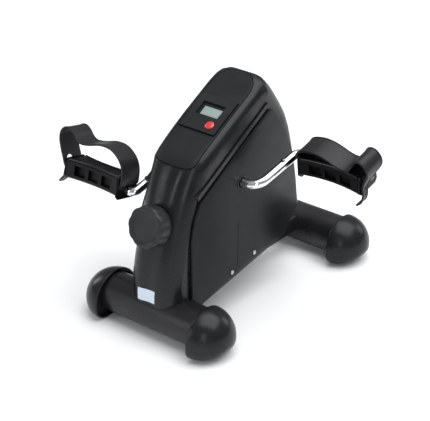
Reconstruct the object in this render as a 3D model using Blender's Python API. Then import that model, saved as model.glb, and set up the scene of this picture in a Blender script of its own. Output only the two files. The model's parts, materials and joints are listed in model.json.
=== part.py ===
"""Pedal exerciser: two floor tubes, a tall moulded housing, a crankset with strapped pedals.

Lengths below are millimetres.  X is across the machine, Y runs from the front tube (knob side)
to the rear tube, Z is up.  While parts are built, Y is counted from the front tube's axis;
finish() moves it so that the middle of the base is the origin, and turns it all into metres.
"""
import math

import bmesh
import bpy
from mathutils import Matrix, Vector

MM = 0.001
GAP = 0.35                      # clearance between neighbouring pieces

# --- base -------------------------------------------------------------------------------------
WHEELBASE = 321.0               # front tube axis to rear tube axis
TUBE_R = 28.5
TUBE_Z = 32.8
TUBE_HALF = 90.0
TUBE_WALL = 2.0
CAP_X = 77.0                    # plane of the cap's open rim
CAP_LEN = 42.0
CAP_HALF = 41.5
CAP_MID_Z = 25.0
CAP_TOP = 65.5
CAP_WALL = 3.0
CAP_MOUTH = 6.0                 # depth of the open hood in front of the socket
SPINE_HALF = 12.0
SPINE_LOW, SPINE_HIGH = 30.0, 52.0

# --- housing ----------------------------------------------------------------------------------
SHELL_HALF = 42.0
SHELL_WALL = 3.0
OUTER_STEPS = (0.0, 6.0, 12.0, 18.0, 24.0, 30.0, 34.0, 37.0, 39.6, 41.4, 42.0)
INNER_STEPS = (0.0, 12.0, 24.0, 32.0, 38.0, 41.0, 42.0)
COVER_OUT = 44.8                # outer face of the side covers
CONSOLE_Y, CONSOLE_Z = 78.3, 269.0      # lower middle of the computer on the sloping face
CONSOLE_ANGLE = math.radians(27.6)
INSERT_HALF = 31.5
BEZEL_HALF = 29.0
BEZEL_LEN = 58.0
BEZEL_RISE = 2.4
BEZEL_DEPTH = 10.0
LCD_S = 35.0                    # LCD centre, up the slope from the bezel's lower edge
LCD_W, LCD_L = 30.0, 14.6
BUTTON_X, BUTTON_S = 14.5, 12.0
BUTTON_R = 6.4

# --- drive ------------------------------------------------------------------------------------
AXLE_Y, AXLE_Z = 119.6, 190.9
AXLE_R = 8.0
AXLE_HALF = 40.0
CRANK_R = 77.0
CRANK_ANGLE = math.radians(21.5)
ROD_R = 6.4
ROD_KNEE = 69.0                 # where the rod leaves the axle line
ROD_ELBOW = 83.0                # where it turns outward again
HOLE_R = 10.5                   # hole in the side cover, lined by a rubber ring
WHEEL_R = 50.0
WHEEL_HALF = 9.0

# --- pedals -----------------------------------------------------------------------------------
PEDAL_IN, PEDAL_OUT = 96.5, 194.5
PEDAL_END_HALF = 20.0
PEDAL_WAIST_HALF = 15.0
PEDAL_HALF_HEIGHT = 13.2
PEDAL_OFFSET = 5.8              # block's middle above the left spindle and below the right one
PEDAL_PITCH = math.radians(13.0)
STRAP_HALF = 18.5
STRAP_T = 2.4
SPINDLE_R = 5.0

# --- resistance -------------------------------------------------------------------------------
KNOB_Y, KNOB_Z = -2.0, 162.7    # knob axis where it leaves the column
KNOB_TILT = math.radians(16.0)
KNOB_R = 29.0
KNOB_LEN = 27.0
SCREW_R = 3.6
BAND_HALF = 5.0
BAND_T = 1.6
HOOK_Y, HOOK_Z = 42.0, 148.5    # nose of the brake band
NOSE_R = 3.2

ACROSS = Vector((1, 0, 0))
KNOB_IN = Vector((0, math.cos(KNOB_TILT), -math.sin(KNOB_TILT)))


# ------------------------------------------------------------------------------ scene and mesh tools
def clear_scene():
    for obj in list(bpy.data.objects):
        bpy.data.objects.remove(obj, do_unlink=True)


def material(name, colour, rough, metal=0.0):
    mat = bpy.data.materials.get(name)
    if mat is None:
        mat = bpy.data.materials.new(name)
        mat.use_nodes = True
        shader = mat.node_tree.nodes["Principled BSDF"]
        shader.inputs["Base Color"].default_value = (*colour, 1.0)
        shader.inputs["Roughness"].default_value = rough
        shader.inputs["Metallic"].default_value = metal
    return mat


def black_plastic():
    return material("black_plastic", (0.022, 0.023, 0.025), 0.42)


def black_paint():
    return material("black_paint", (0.018, 0.018, 0.02), 0.38)


def pedal_plastic():
    return material("pedal_plastic", (0.012, 0.012, 0.013), 0.5)


def strap_rubber():
    return material("strap_rubber", (0.017, 0.017, 0.018), 0.6)


def chrome():
    return material("chrome", (0.75, 0.76, 0.78), 0.08, 1.0)


def steel():
    return material("steel", (0.52, 0.53, 0.55), 0.32, 1.0)


def cast_iron():
    return material("cast_iron", (0.2, 0.2, 0.21), 0.55, 1.0)


def nylon():
    return material("nylon", (0.7, 0.69, 0.65), 0.5)


def finish(name, bm, mat, pivot=(0.0, 0.0, 0.0), sharp=35.0):
    """Turn a bmesh in millimetres into a named object whose origin is at pivot."""
    place = Vector(pivot) if any(pivot) else Vector((0, WHEELBASE / 2, 0))
    bmesh.ops.remove_doubles(bm, verts=bm.verts, dist=0.01)
    bmesh.ops.recalc_face_normals(bm, faces=bm.faces)
    bm.transform(Matrix.Scale(MM, 4) @ Matrix.Translation(-place))
    mesh = bpy.data.meshes.new(name)
    bm.to_mesh(mesh)
    bm.free()
    mesh.shade_smooth()
    mesh.set_sharp_from_angle(angle=math.radians(sharp))
    obj = bpy.data.objects.new(name, mesh)
    obj.location = (place - Vector((0, WHEELBASE / 2, 0))) * MM
    obj.data.materials.append(mat)
    bpy.context.scene.collection.objects.link(obj)
    return obj


def combined(base, others, operation):
    """Boolean of bmeshes in millimetres; the inputs are used up."""
    def to_object(bm):
        bmesh.ops.recalc_face_normals(bm, faces=bm.faces)
        mesh = bpy.data.meshes.new("work")
        bm.to_mesh(mesh)
        bm.free()
        obj = bpy.data.objects.new("work", mesh)
        bpy.context.scene.collection.objects.link(obj)
        return obj

    target = to_object(base)
    tools = [to_object(bm) for bm in others]
    for tool in tools:
        mod = target.modifiers.new("cut", "BOOLEAN")
        mod.operation = operation
        mod.solver = "EXACT"
        mod.object = tool
    graph = bpy.context.evaluated_depsgraph_get()
    result = bmesh.new()
    result.from_mesh(bpy.data.meshes.new_from_object(target.evaluated_get(graph)))
    for obj in [target, *tools]:
        bpy.data.objects.remove(obj, do_unlink=True)
    bmesh.ops.remove_doubles(result, verts=result.verts, dist=0.005)
    bmesh.ops.dissolve_degenerate(result, edges=result.edges, dist=0.004)
    return result


def cut(base, *tools):
    return combined(base, tools, "DIFFERENCE")


def joined(base, *tools):
    return combined(base, tools, "UNION")


def shared(base, *tools):
    return combined(base, tools, "INTERSECT")


def skin(rings):
    """Closed body through rings of equal length, with a flat face on both ends."""
    bm = bmesh.new()
    rows = [[bm.verts.new(p) for p in ring] for ring in rings]
    count = len(rows[0])
    for a, b in zip(rows, rows[1:]):
        for i in range(count):
            j = (i + 1) % count
            bm.faces.new((a[i], a[j], b[j], b[i]))
    bm.faces.new(reversed(rows[0]))
    bm.faces.new(rows[-1])
    return bm


def prism(outline, corner, right, up, depth_from, depth_to):
    """Outline (u, v) laid on the plane corner + u*right + v*up, extruded along its normal."""
    normal = right.cross(up)
    ring = [corner + right * u + up * v for u, v in outline]
    return skin([[p + normal * d for p in ring] for d in (depth_from, depth_to)])


def box(low, high):
    x0, y0, z0 = low
    x1, y1, z1 = high
    outline = [(x0, y0), (x1, y0), (x1, y1), (x0, y1)]
    return skin([[Vector((x, y, z)) for x, y in outline] for z in (z0, z1)])


def lathe(profile, centre, axis, segments=32):
    """Revolve (along, radius) pairs round the axis; a zero radius closes an end."""
    axis = axis.normalized()
    side = axis.orthogonal().normalized()
    up = axis.cross(side)
    bm = bmesh.new()
    rows = []
    for along, radius in profile:
        mid = Vector(centre) + axis * along
        if radius < 1e-6:
            rows.append([bm.verts.new(mid)])
            continue
        turns = [2 * math.pi * k / segments for k in range(segments)]
        rows.append([bm.verts.new(mid + (side * math.cos(t) + up * math.sin(t)) * radius) for t in turns])
    closed = len(rows[0]) > 1 and len(rows[-1]) > 1
    pairs = list(zip(rows, rows[1:])) + ([(rows[-1], rows[0])] if closed else [])
    for a, b in pairs:
        for i in range(segments):
            j = (i + 1) % segments
            quad = [a[i % len(a)], a[j % len(a)], b[j % len(b)], b[i % len(b)]]
            unique = list(dict.fromkeys(quad))
            if len(unique) > 2:
                bm.faces.new(unique)
    return bm


def rod(start, end, radius, segments=24):
    start, end = Vector(start), Vector(end)
    length = (end - start).length
    return lathe([(0, 0), (0, radius), (length, radius), (length, 0)], start, end - start, segments)


def ring_body(centre, axis, inner, outer, half, segments=32):
    profile = [(-half, inner), (-half, outer), (half, outer), (half, inner)]
    return lathe(profile, centre, axis, segments)


def filleted(points, radii, steps=6):
    """A path through points with each inner corner rounded to the matching radius."""
    points = [Vector(p) for p in points]
    path = [points[0]]
    for i, radius in enumerate(radii, start=1):
        before = (points[i - 1] - points[i]).normalized()
        after = (points[i + 1] - points[i]).normalized()
        half = before.angle(after) / 2
        reach = radius / math.tan(half)
        centre = points[i] + (before + after).normalized() * (radius / math.sin(half))
        a = points[i] + before * reach - centre
        b = points[i] + after * reach - centre
        whole = a.angle(b)
        for k in range(steps + 1):
            t = k / steps
            w0, w1 = math.sin((1 - t) * whole), math.sin(t * whole)
            path.append(centre + (a * w0 + b * w1) / math.sin(whole))
    path.append(points[-1])
    return path


def sweep(path, section):
    """Carry a closed (across, off) section along a path; 'across' stays square to the path's plane."""
    rings = []
    for i, point in enumerate(path):
        ahead = (path[min(i + 1, len(path) - 1)] - path[max(i - 1, 0)]).normalized()
        across = sweep_plane(path)
        off = across.cross(ahead).normalized()
        rings.append([point + across * u + off * v for u, v in section])
    return skin(rings)


def sweep_plane(path):
    """Normal of the plane that the path lies in."""
    best = Vector((0, 0, 0))
    origin = path[0]
    for p, q in zip(path[1:], path[2:]):
        turn = (p - origin).cross(q - origin)
        if turn.length > best.length:
            best = turn
    return best.normalized()


def circle_section(radius, count=16):
    turns = [2 * math.pi * k / count for k in range(count)]
    return [(radius * math.cos(t), radius * math.sin(t)) for t in turns]


def smooth_path(points, per_span=4):
    """Catmull-Rom curve through hand-set points."""
    points = [Vector(p) for p in points]
    ends = [2 * points[0] - points[1], *points, 2 * points[-1] - points[-2]]
    path = []
    for p0, p1, p2, p3 in zip(ends, ends[1:], ends[2:], ends[3:]):
        for k in range(per_span):
            t = k / per_span
            a = 2 * p1 + (p2 - p0) * t
            b = (2 * p0 - 5 * p1 + 4 * p2 - p3) * t ** 2
            c = (3 * p1 - p0 - 3 * p2 + p3) * t ** 3
            path.append((a + b + c) / 2)
    path.append(points[-1])
    return path


# ------------------------------------------------------------------------------------------- base
def floor_tube(name, y):
    outer = ring_body((0, y, TUBE_Z), ACROSS, TUBE_R - TUBE_WALL, TUBE_R, TUBE_HALF, 36)
    return finish(name, outer, black_paint())


def cap_rings(grow, reach, stations, count=24):
    """Rings of the cap's dome from its rim outward, offset inward by -grow."""
    half, top, low = CAP_HALF + grow, CAP_TOP - CAP_MID_Z + grow, CAP_MID_Z + 1.5 + grow
    floor = 0.0 if grow == 0 else -grow
    rings = []
    for k in range(stations + 1):
        angle = math.radians(86.0) * k / stations
        x = (reach + grow) * math.sin(angle)
        shrink = math.cos(angle)
        ring = []
        for i in range(count):
            turn = 2 * math.pi * i / count
            c, s = math.cos(turn), math.sin(turn)
            if s >= 0:
                y, z = half * c, top * s
            else:
                y = half * math.copysign(abs(c) ** 0.7, c)
                z = -low * abs(s) ** 0.7
            ring.append((x, y * shrink, max(floor, CAP_MID_Z + z * shrink)))
        rings.append(ring)
    return rings


def end_cap(name, side, y):
    """Hood-like foot: a dome with a socket for the tube and an open mouth at its rim."""
    def place(rings, start=0.0):
        return skin([[Vector((side * (CAP_X + start + p[0]), y + p[1], p[2])) for p in r] for r in rings])

    dome = place(cap_rings(0.0, CAP_LEN, 6))
    hood = cap_rings(-CAP_WALL, CAP_LEN, 6)[0]
    mouth = place([[(x - 2, p[1], p[2]) for p in hood] for x in (0, CAP_MOUTH + 2)])
    centre = Vector((side * (CAP_X - 3), y, TUBE_Z))
    socket = rod(centre, centre + ACROSS * side * (TUBE_HALF - CAP_X + 3 + GAP), TUBE_R + GAP, 36)
    return finish(name, cut(dome, mouth, socket), black_plastic())


def frame_spine():
    start = math.sqrt(TUBE_R ** 2 - (SPINE_HIGH - TUBE_Z) ** 2)
    bm = box((-SPINE_HALF, start - 6, SPINE_LOW), (SPINE_HALF, WHEELBASE - start + 6, SPINE_HIGH))
    tools = [rod((-40, y, TUBE_Z), (40, y, TUBE_Z), TUBE_R + GAP, 36) for y in (0.0, WHEELBASE)]
    inner = box((-SPINE_HALF + 2, -60, SPINE_LOW + 2), (SPINE_HALF - 2, WHEELBASE + 60, SPINE_HIGH - 2))
    return finish("frame_spine", cut(bm, *tools, inner), black_paint())


def axle_bracket():
    """Two upright plates on the spine, joined by a foot, each with a seat for an axle bush."""
    inner, outer = 17.0, 20.0
    foot_z = SPINE_HIGH + GAP
    plates = []
    for side in (-1, 1):
        outline = [(AXLE_Y - 45, foot_z), (AXLE_Y + 45, foot_z), (AXLE_Y + 19, AXLE_Z + 14),
                   (AXLE_Y, AXLE_Z + 22), (AXLE_Y - 19, AXLE_Z + 14)]
        plates.append(on_side(outline, side, inner, outer))
    foot = box((-outer + 0.5, AXLE_Y - 44, foot_z), (outer - 0.5, AXLE_Y + 44, foot_z + 3.2))
    body = joined(foot, *plates)
    seat = rod((-30, AXLE_Y, AXLE_Z), (30, AXLE_Y, AXLE_Z), 14.0 + GAP, 32)
    return finish("axle_bracket", cut(body, seat), steel())


def axle_bush(name, side):
    body = ring_body((side * 19.5, AXLE_Y, AXLE_Z), ACROSS, AXLE_R + GAP, 14.0, 4.5, 24)
    return finish(name, body, nylon())


# ---------------------------------------------------------------------------------------- housing
def housing_outline():
    """Side view of the housing as (y, z, edge rounding), from the column's foot over the top."""
    slope = math.tan(CONSOLE_ANGLE)
    column = [(-22.5, 44, 30), (-23.6, 66, 30), (-22.6, 88, 30), (-17.5, 116, 31), (-9.0, 148, 31),
              (0.7, 180, 31), (8.0, 200, 30), (16.5, 219, 29), (25.0, 235, 27), (32.5, 244.5, 22)]
    edges = (18, 15, 13, 12, 12, 12, 12)
    console = [(y, CONSOLE_Z + (y - CONSOLE_Y) * slope, edge)
               for y, edge in zip((44, 60, CONSOLE_Y, 95, 112, 130, 146), edges)]
    crown = [(156, 310.5, 14), (165, 316.4, 18), (173, 320.0, 22), (180.5, 319.8, 25), (188, 315, 26)]
    back = [(198, 305, 26), (208, 291.5, 25), (218, 275.5, 22), (228, 256.5, 18), (237, 232, 15),
            (245, 203, 14), (252.5, 172, 14), (258, 146, 13), (261, 122, 12), (261.5, 104, 8)]
    foot = [(257, 98, 4), (228, 69.5, 0.2), (221, 66.5, 0.2), (40, 40, 0.2), (-18, 36, 0.2)]
    return [*column, *console, *crown, *back, *foot]


def housing_body(inset, floor=None, steps=OUTER_STEPS):
    """Solid inside of the housing's outer skin, offset inward; 'floor' drops the open underside."""
    outline = housing_outline()
    half = SHELL_HALF - inset
    across = [x for x in steps if x < half - 0.2] + [half]
    count = len(outline)
    rings = []
    for x in [-a for a in reversed(across[1:])] + across:
        ring = []
        for i, (y, z, edge) in enumerate(outline):
            before, after = outline[i - 1], outline[(i + 1) % count]
            out = Vector((0, before[1] - after[1], after[0] - before[0])).normalized()
            edge = max(edge - max(inset, 0) * 0.6, 0.2)
            over = max(0.0, abs(x) - (half - edge))
            pull = edge - math.sqrt(max(edge ** 2 - over ** 2, 0.0))
            if i < 9:
                pull += 1.3 * math.exp(-(x / 8.0) ** 2)
            point = Vector((x, y, z)) - out * (pull + inset)
            if floor is not None and i >= count - 4:
                point.z = floor
                point.y = y
            ring.append(point)
        rings.append(ring)
    return skin(rings)


def console_point(s, off=0.0):
    """Point on the console's slope: s up the slope from the computer's lower edge, off out of it."""
    c, n = math.cos(CONSOLE_ANGLE), math.sin(CONSOLE_ANGLE)
    return Vector((0, CONSOLE_Y + s * c - off * n, CONSOLE_Z + s * n + off * c))


def console_prism(outline, low, high):
    up = Vector((0, math.cos(CONSOLE_ANGLE), math.sin(CONSOLE_ANGLE)))
    return prism(outline, console_point(0), ACROSS, up, low, high)


def insert_outline(grow):
    """Console insert seen square to the slope: parallel sides with rounded ends."""
    half = INSERT_HALF + grow
    ends = ((80.0, half, 1.0, 1), (-40.0, 19.0 + grow, 0.55, -1))
    points = []
    for start, length, power, way in ends:
        for k in range(13):
            t = math.pi * k / 12
            x, s = math.cos(t), math.sin(t)
            points.append((way * half * math.copysign(abs(x) ** power, x), start + way * length * s ** power))
    return points


def side_band(side):
    """Shallow step between the column's rounded front and the side cover."""
    outline = [(-9.5, 50), (-8, 69), (-3, 108), (6, 148), (22, 202), (27, 204), (31, 197), (17, 160),
               (14, 140), (14, 50)]
    return on_side(outline, side, SHELL_HALF - 1.6, SHELL_HALF + 5)


def bead_outline():
    """Long raised bead above the cover's sloping edge, square to the slope."""
    return [(26, 203.5), (28.5, 199.5), (176, 281.2), (178.5, 284), (175, 287.5), (27, 206)]


def on_side(outline, side, x0, x1):
    """Outline in (y, z) extruded across the machine from |x| = x0 to x1 on one side."""
    near, far = (x0, x1) if side > 0 else (-x1, -x0)
    return prism(outline, Vector((near, 0, 0)), Vector((0, 1, 0)), Vector((0, 0, 1)), 0, far - near)


def cover_outline():
    return [(14, 50), (14, 146), (19, 170), (31.5, 195.5), (178, 276.5), (186, 273.5), (206, 249),
            (224, 219), (234, 196), (242, 165), (247.5, 132), (248.5, 106), (245, 99.5), (219, 70.5),
            (213, 66), (41, 41.5), (24, 38)]


def housing_shell():
    body = housing_body(0.0)
    hollow = housing_body(SHELL_WALL, -30.0, INNER_STEPS)
    tools = [hollow, rod((-70, 0, TUBE_Z), (70, 0, TUBE_Z), TUBE_R + GAP, 36)]
    tools.append(console_prism(insert_outline(1.0), -16, 12))
    for side in (-1, 1):
        tools.append(side_band(side))
        opening = [(34, 60), (34, 185), (170, 258), (196, 236), (228, 180), (236, 115), (210, 84)]
        tools.append(on_side(opening, side, SHELL_HALF - 9, SHELL_HALF + 5))
        tools += [rod((side * 30, y, z), (side * 60, y, z), 1.7 + GAP, 12) for y, z in screw_places()]
    tools.append(rod(knob_point(-14), knob_point(14), 7.0 + GAP, 24))
    return finish("housing_shell", cut(body, *tools), black_plastic())


def side_cover(name, side):
    plate = on_side(cover_outline(), side, SHELL_HALF + GAP, COVER_OUT)
    bmesh.ops.recalc_face_normals(plate, faces=plate.faces)
    rim = [e for e in plate.edges if all(abs(abs(v.co.x) - COVER_OUT) < 0.01 for v in e.verts)]
    bmesh.ops.bevel(plate, geom=rim, offset=1.0, segments=2, profile=0.5, affect="EDGES")
    tube = rod((-70, 0, TUBE_Z), (70, 0, TUBE_Z), TUBE_R + 2 * GAP, 36)
    hole = rod((side * 30, AXLE_Y, AXLE_Z), (side * 60, AXLE_Y, AXLE_Z), HOLE_R, 32)
    screws = [rod((side * 30, y, z), (side * 60, y, z), 2.2, 16) for y, z in screw_places()]
    return finish(name, cut(plate, tube, hole, *screws), black_plastic())


def cover_bead(name, side):
    bead = on_side(bead_outline(), side, SHELL_HALF - 4.0, COVER_OUT - 0.4)
    body = housing_body(-GAP)
    return finish(name, cut(bead, body), black_plastic())


def screw_places():
    return [(100.0, 61.0), (150.0, 70.0)]


def cover_screw(name, side, y, z):
    """Pan-head screw through the cover into the shell's lower edge."""
    profile = [(-6.5, 0), (-6.5, 1.7), (2.3 + GAP, 1.7), (2.3 + GAP, 3.4), (3.2 + GAP, 3.1),
               (3.9 + GAP, 1.6), (3.9 + GAP, 0)]
    body = lathe(profile, (side * (COVER_OUT - 2.3), y, z), ACROSS * side, 12)
    return finish(name, body, steel())


def hole_ring(name, side):
    outer, inner = HOLE_R - GAP, ROD_R + 1.2
    profile = [(-2.0, inner), (-2.0, outer), (0.3, outer), (0.8, outer - 0.8), (0.8, inner + 0.8),
               (0.3, inner)]
    body = lathe(profile, (side * COVER_OUT, AXLE_Y, AXLE_Z), ACROSS * side, 24)
    return finish(name, body, strap_rubber())


# ------------------------------------------------------------------------------ console and computer
def console_insert():
    plate = shared(housing_body(0.0), console_prism(insert_outline(0.0), -16, 12))
    inside = housing_body(SHELL_WALL + 2 * GAP, steps=INNER_STEPS)
    flange = shared(inside, console_prism(insert_outline(3.0), -18, 12))
    body = joined(plate, flange)
    well = rectangle(0, BEZEL_LEN / 2, 2 * BEZEL_HALF + 2, BEZEL_LEN + 2)
    tools = [housing_body(SHELL_WALL + 2.4, steps=INNER_STEPS), console_prism(well, -20, 12)]
    return finish("console_insert", cut(body, *tools), black_plastic())


def rectangle(u, v, width, length):
    w, h = width / 2, length / 2
    return [(u - w, v - h), (u + w, v - h), (u + w, v + h), (u - w, v + h)]


def computer_bezel():
    body = console_prism(rectangle(0, BEZEL_LEN / 2, 2 * BEZEL_HALF, BEZEL_LEN), -BEZEL_DEPTH, BEZEL_RISE)
    frame = rectangle(-0.5, LCD_S + 0.5, LCD_W + 6, LCD_L + 7.5)
    window = console_prism(frame, BEZEL_RISE - 3.2, BEZEL_RISE + 5)
    glass = console_prism(rectangle(0, LCD_S, LCD_W + 1, LCD_L + 1), -6.0, BEZEL_RISE)
    inside = rectangle(0, BEZEL_LEN / 2, 2 * BEZEL_HALF - 4, BEZEL_LEN - 4)
    back = console_prism(inside, -BEZEL_DEPTH - 5, -4.4)
    up = console_point(0, 1) - console_point(0)
    start = console_point(BUTTON_S, -12) + ACROSS * BUTTON_X
    bore = rod(start, start + up * 30, BUTTON_R + GAP, 24)
    body = cut(body, window, glass, back, bore)
    return finish("computer_bezel", body, black_plastic())


def lcd_display():
    body = console_prism(rectangle(0, LCD_S, LCD_W, LCD_L), -3.8, -2.0)
    return finish("lcd_display", body, material("lcd_glass", (0.5, 0.6, 0.57), 0.15))


def computer_board():
    body = console_prism(rectangle(0, BEZEL_LEN / 2, 2 * BEZEL_HALF - 6, BEZEL_LEN - 6), -7.6, -6.0)
    return finish("computer_board", body, material("board_green", (0.02, 0.15, 0.06), 0.4))


def reset_button():
    up = console_point(0, 1) - console_point(0)
    base = console_point(BUTTON_S) + ACROSS * BUTTON_X
    profile = [(-4.2, 0), (-4.2, BUTTON_R), (BEZEL_RISE + 1.0, BUTTON_R), (BEZEL_RISE + 1.8, BUTTON_R - 1.2),
               (BEZEL_RISE + 2.2, BUTTON_R - 3.2), (BEZEL_RISE + 2.2, 0)]
    body = lathe(profile, base, up, 24)
    return finish("reset_button", body, material("button_red", (0.62, 0.02, 0.03), 0.35), base)


def info_label():
    """Blank sticker low on the column, left of the middle."""
    skin_out, skin_in = housing_body(-0.5), housing_body(-0.15)
    corners = [(-18, 54.5), (10.5, 56.5), (11.5, 75.5), (-17.5, 73)]
    patch = prism(corners, Vector((0, -60, 0)), ACROSS, Vector((0, 0, 1)), -60, 5)
    white = material("label_white", (0.75, 0.8, 0.86), 0.4)
    return finish("info_label", cut(shared(skin_out, patch), skin_in), white)


# ------------------------------------------------------------------------------------------ sensor
def reed_sensor():
    """Reed switch beside the wheel's rim, on a stem that is fixed to the axle bracket's right plate."""
    body = box((12.2, AXLE_Y - 6, AXLE_Z + 41), (16.6, AXLE_Y + 6, AXLE_Z + 49))
    stem = box((14.0, AXLE_Y - 3, AXLE_Z + 16), (17 - GAP, AXLE_Y + 3, AXLE_Z + 42))
    return finish("reed_sensor", joined(body, stem), black_plastic())


def sensor_cable():
    """Held its whole length: from the reed sensor up to the back of the computer's board."""
    end = console_point(30, -8.6) + ACROSS * 14.4
    start = Vector((14.4, AXLE_Y, AXLE_Z + 49.6))
    bends = [start + Vector((0, 0, 6)), start + Vector((0, -3, 16)), end - Vector((0, 0, 9))]
    path = smooth_path([start, *bends, end], 4)
    return finish("sensor_cable", sweep(path, circle_section(1.3, 8)), strap_rubber())


def wheel_magnet():
    """Small magnet stuck on the wheel's rim; the reed switch counts its passes."""
    base = axle_turned(WHEEL_HALF + GAP, 45.0, 90.0)
    body = rod(base, base + ACROSS * 2.0, 3.2, 16)
    return finish("wheel_magnet", body, steel(), axle_centre())


# ---------------------------------------------------------------------------------------- crankset
def axle_centre():
    return Vector((0, AXLE_Y, AXLE_Z))


def axle_turned(x, radius, degrees):
    turn = math.radians(degrees)
    return Vector((x, AXLE_Y + radius * math.cos(turn), AXLE_Z + radius * math.sin(turn)))


def crank_axle():
    body = rod((-AXLE_HALF, AXLE_Y, AXLE_Z), (AXLE_HALF, AXLE_Y, AXLE_Z), AXLE_R, 24)
    return finish("crank_axle", body, steel(), axle_centre())


def drive_wheel():
    """Grooved iron wheel that the brake band runs round."""
    bore, hub, web = AXLE_R + GAP, 18.0, 4.0
    groove = BAND_HALF + 0.8
    right = [(groove, WHEEL_R - 3), (groove, WHEEL_R), (WHEEL_HALF, WHEEL_R), (WHEEL_HALF, 40),
             (web, 38), (web, hub + 2), (12, hub), (12, bore)]
    profile = [(-x, r) for x, r in reversed(right)] + right
    return finish("drive_wheel", lathe(profile, axle_centre(), ACROSS, 28), cast_iron(), axle_centre())


def crank_path(side):
    turn = Vector((0, math.cos(CRANK_ANGLE), math.sin(CRANK_ANGLE))) * side
    c = axle_centre()
    start = c + ACROSS * side * (AXLE_HALF + GAP)
    knee = c + ACROSS * side * ROD_KNEE
    elbow = c + ACROSS * side * ROD_ELBOW + turn * CRANK_R
    end = elbow + ACROSS * side * (PEDAL_IN - ROD_ELBOW - 4)
    return filleted([start, knee, elbow, end], [23, 9], 7)


def crank_arm(name, side):
    body = sweep(crank_path(side), circle_section(ROD_R, 16))
    return finish(name, body, chrome(), axle_centre())


def crank_pin(name, side):
    """Short cross pin lying on the rod near its pedal end."""
    out = Vector((0, -math.sin(CRANK_ANGLE), math.cos(CRANK_ANGLE)))
    turn = Vector((0, math.cos(CRANK_ANGLE), math.sin(CRANK_ANGLE))) * side
    lean = (ROD_ELBOW - ROD_KNEE) / CRANK_R
    centre = axle_centre() + turn * 52 + ACROSS * side * (ROD_KNEE + 52 * lean)
    body = lathe([(0, 0), (0, 3.0), (1.6, 3.0), (2.4, 1.8), (2.4, 0)], centre + out * (ROD_R + GAP), out, 16)
    return finish(name, body, steel(), axle_centre())


# ------------------------------------------------------------------------------------------ pedals
def pedal_centre(side):
    return axle_centre() + Vector((0, math.cos(CRANK_ANGLE), math.sin(CRANK_ANGLE))) * CRANK_R * side


def pedal_at(side, x, y, z):
    """Point of a pedal: |x| across the machine, y and z from the spindle in the pitched pedal."""
    turn = PEDAL_PITCH * side
    c, s = math.cos(turn), math.sin(turn)
    return pedal_centre(side) + Vector((side * x, y * c - z * s, y * s + z * c))


def pedal_middle(side):
    """The same moulding serves both sides, turned over, so its middle is above or below the spindle."""
    return -side * PEDAL_OFFSET


def pedal_block(side, x, y, z):
    """Box in pedal coordinates; x, y and z are (low, high) pairs."""
    outline = [(x[0], y[0]), (x[1], y[0]), (x[1], y[1]), (x[0], y[1])]
    return skin([[pedal_at(side, u, v, w) for u, v in outline] for w in z])


def pedal_spindle(name, side):
    body = rod(pedal_at(side, PEDAL_IN - 4 + GAP, 0, 0), pedal_at(side, PEDAL_OUT - 8, 0, 0), SPINDLE_R, 20)
    return finish(name, body, steel(), axle_centre())


def pedal_section(half, low, high):
    """Pedal cross-section: a block whose corners are eased and whose long sides are upright."""
    ease = 2.5
    return [(-half, low + ease), (-half + ease, low), (half - ease, low), (half, low + ease),
            (half, high - ease), (half - ease, high), (ease - half, high), (-half, high - ease)]


def pedal_body(name, side):
    """Waisted tread block with grooves on its tread and pockets in its long sides."""
    low, high = pedal_middle(side) - PEDAL_HALF_HEIGHT, pedal_middle(side) + PEDAL_HALF_HEIGHT
    start, end = PEDAL_IN + 3.0, PEDAL_OUT - 3.0
    rings = []
    for k in range(13):
        t = k / 12
        half = PEDAL_WAIST_HALF + (PEDAL_END_HALF - PEDAL_WAIST_HALF) * (2 * t - 1) ** 2
        x = start + (end - start) * t
        rings.append([pedal_at(side, x, y, z) for y, z in pedal_section(half, low, high)])
    tools = []
    for t in (0.24, 0.5, 0.76):
        mid = start + (end - start) * t
        for way in (-1, 1):
            across = (10.5, 26.0) if way > 0 else (-26.0, -10.5)
            tools.append(pedal_block(side, (mid - 9, mid + 9), across, (low + 6, high - 6)))
    for y in (-7.5, -2.5, 2.5, 7.5):
        tools.append(pedal_block(side, (start + 9, end - 9), (y - 1.0, y + 1.0), (high - 1.4, high + 5)))
    bore = (pedal_at(side, start - 13, 0, 0), pedal_at(side, PEDAL_OUT - 7, 0, 0))
    tools.append(rod(*bore, SPINDLE_R + GAP, 20))
    return finish(name, cut(skin(rings), *tools), pedal_plastic(), pedal_centre(side))


def pedal_plate(name, side, x, extra_low, extra_high):
    """End plate: closes the block and carries one end of the strap."""
    half, ease = PEDAL_END_HALF + 1.5, 5.0
    low = pedal_middle(side) - PEDAL_HALF_HEIGHT - extra_low
    high = pedal_middle(side) + PEDAL_HALF_HEIGHT + extra_high
    outline = [(-half, low + ease), (-half + ease, low), (half - ease, low), (half, low + ease),
               (half - 2, high - ease), (half - 6, high), (6 - half, high), (2 - half, high - ease)]
    body = skin([[pedal_at(side, x + d, y, z) for y, z in outline] for d in (0.0, 2.6)])
    if x < PEDAL_IN + 5:
        body = cut(body, rod(pedal_at(side, x - 5, 0, 0), pedal_at(side, x + 8, 0, 0), SPINDLE_R + GAP, 20))
    return finish(name, body, pedal_plastic(), pedal_centre(side))


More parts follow.
